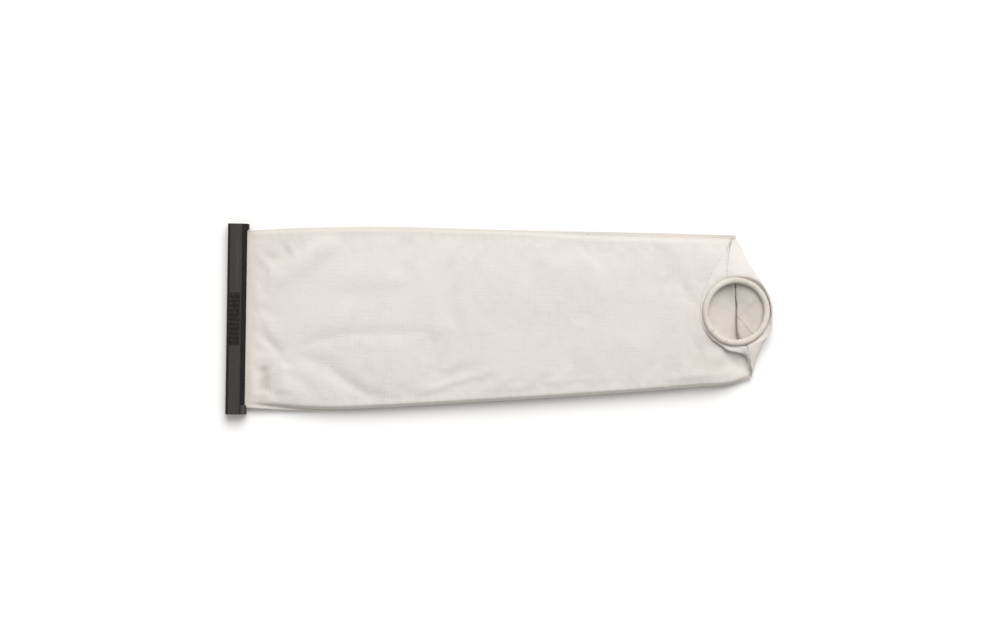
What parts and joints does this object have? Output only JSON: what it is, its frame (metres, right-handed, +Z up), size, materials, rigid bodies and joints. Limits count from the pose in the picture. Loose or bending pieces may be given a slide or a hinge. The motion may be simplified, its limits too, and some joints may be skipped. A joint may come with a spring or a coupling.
{
  "type": "dust collector bag",
  "caption": "Flat cotton canvas dust bag with a slide-off plastic clip closing one end and a beaded elastic mouth folded over the other.",
  "frame": {"origin": "under the middle of the bag's bounding box, on the surface it lies on", "axes": "+X along the bag from the clip to the mouth, +Y along the clip towards its closed end, +Z up"},
  "size_m": [0.3984, 0.1388, 0.0202],
  "materials": {
    "slider_plastic": "satin black moulded plastic",
    "rail_plastic": "smooth black extruded plastic",
    "canvas": "undyed plain-weave cotton canvas",
    "hem_cloth": "undyed cotton hem, stretched over elastic",
    "elastic": "pale round elastic",
    "thread": "undyed cotton sewing thread"
  },
  "bodies": {
    "bag": {"upper_panel": "canvas", "lower_panel": "canvas", "throat_upper": "canvas", "throat_lower": "canvas", "upper_rail": "rail_plastic", "lower_rail": "rail_plastic", "far_side_thread": "thread", "near_side_thread": "thread", "far_shoulder_thread": "thread", "near_shoulder_thread": "thread", "upper_rail_thread": "thread", "lower_rail_thread": "thread"},
    "clip": {"slider": "slider_plastic"},
    "collar": {"collar_hem": "hem_cloth", "ring_core": "elastic", "hem_thread": "thread"}
  },
  "joints": [
    {"name": "clip_slide", "type": "slide", "parent": "bag", "child": "clip", "axis": [0, 1, 0], "range_m": [0, 0.145]},
    {"name": "collar_tilt", "type": "hinge", "parent": "bag", "child": "collar", "pos_m": [0.19349, 0.011, 0.01184], "axis": [0, 1, 0], "range_deg": [0, 80], "deforming": ["throat_upper", "throat_lower", "far_shoulder_thread", "near_shoulder_thread"]}
  ]
}
